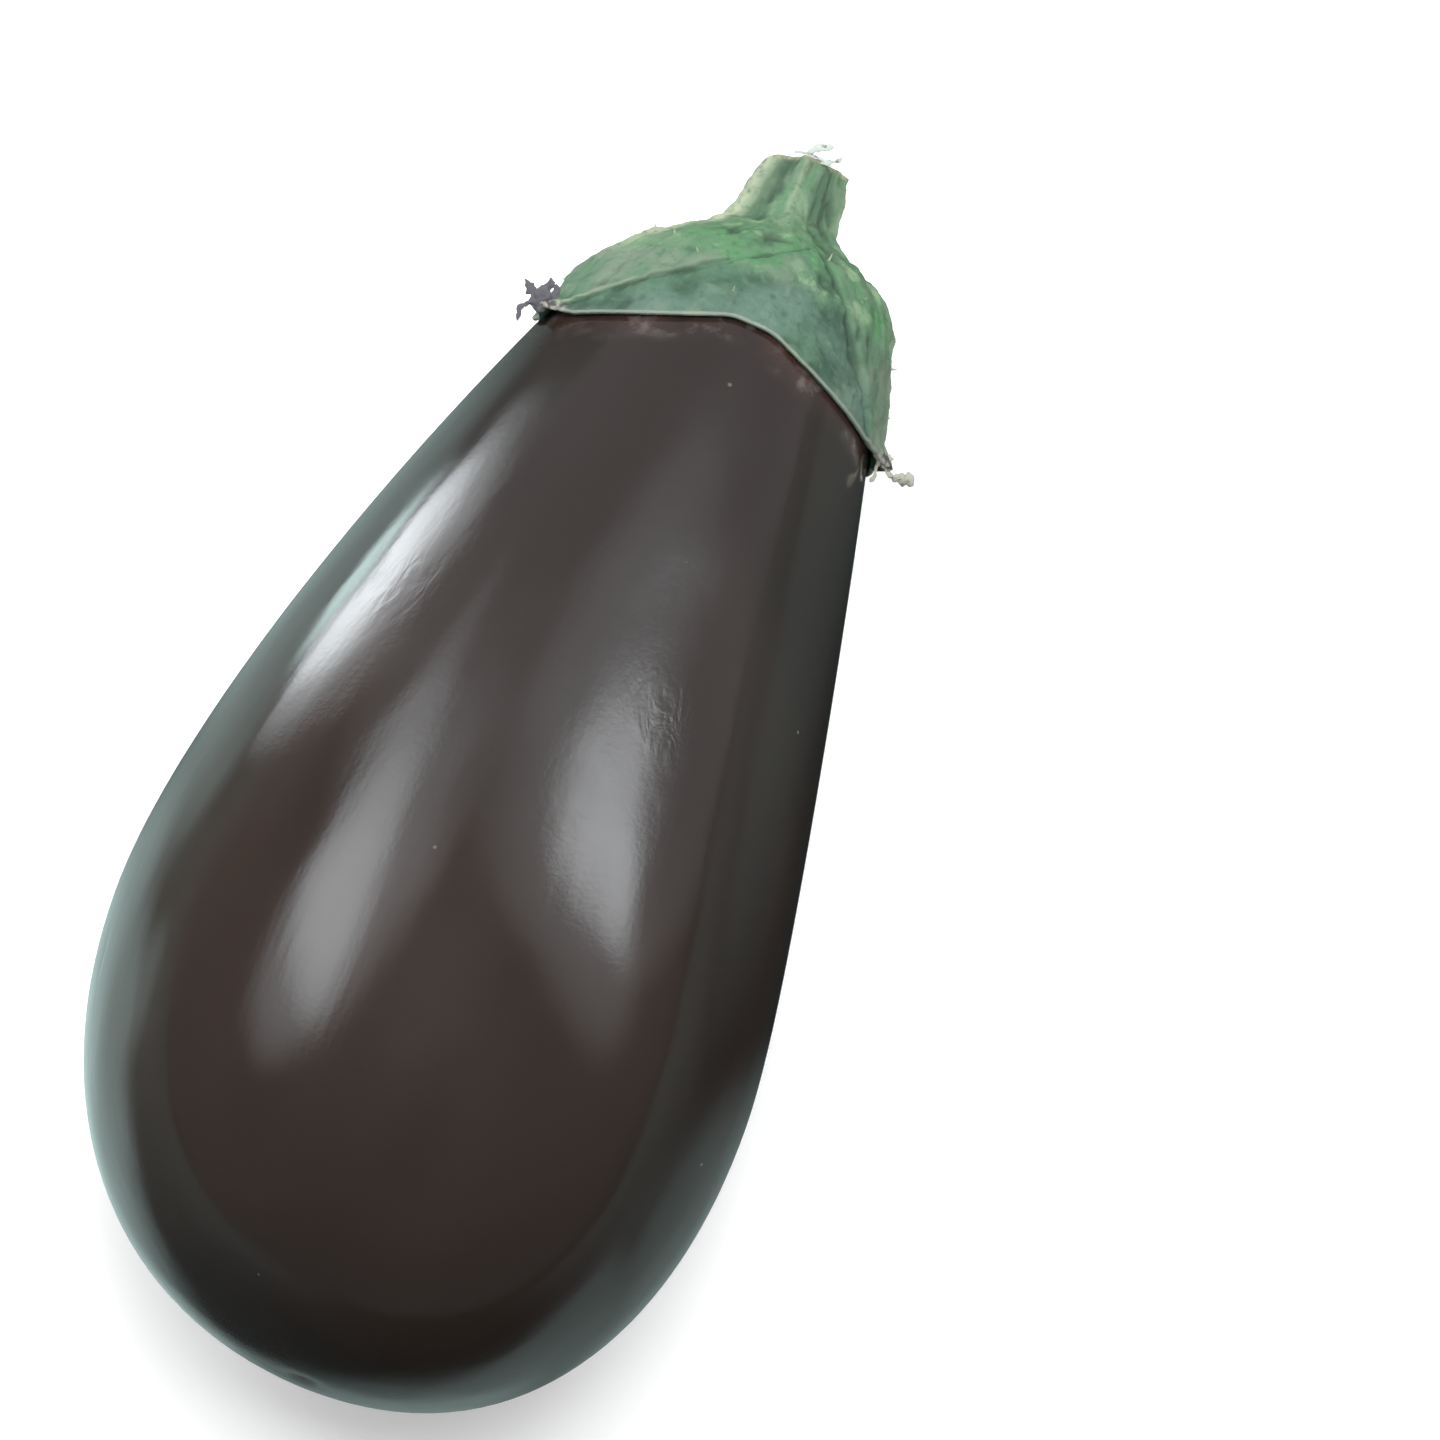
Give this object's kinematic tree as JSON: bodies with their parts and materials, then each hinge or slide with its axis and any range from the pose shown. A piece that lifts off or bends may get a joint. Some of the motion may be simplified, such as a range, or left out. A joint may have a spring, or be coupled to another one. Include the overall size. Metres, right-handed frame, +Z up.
{
  "type": "eggplant",
  "caption": "Whole fresh eggplant as picked, lying on its side: pear-shaped glossy dark fruit with a green lobed calyx and a short cut stalk.",
  "frame": {"origin": "middle of the small flat spot that the fruit rests on", "axes": "+Z up, +Y along the lying fruit towards the stalk, -Y towards the blossom end, +X to the right seen from the blossom end"},
  "size_m": [0.0941, 0.1922, 0.093],
  "materials": {
    "fruit_skin": "gloss",
    "calyx_green": "matte"
  },
  "bodies": {
    "root": {"fruit": "fruit_skin", "calyx_and_stalk": "calyx_green"}
  },
  "joints": []
}
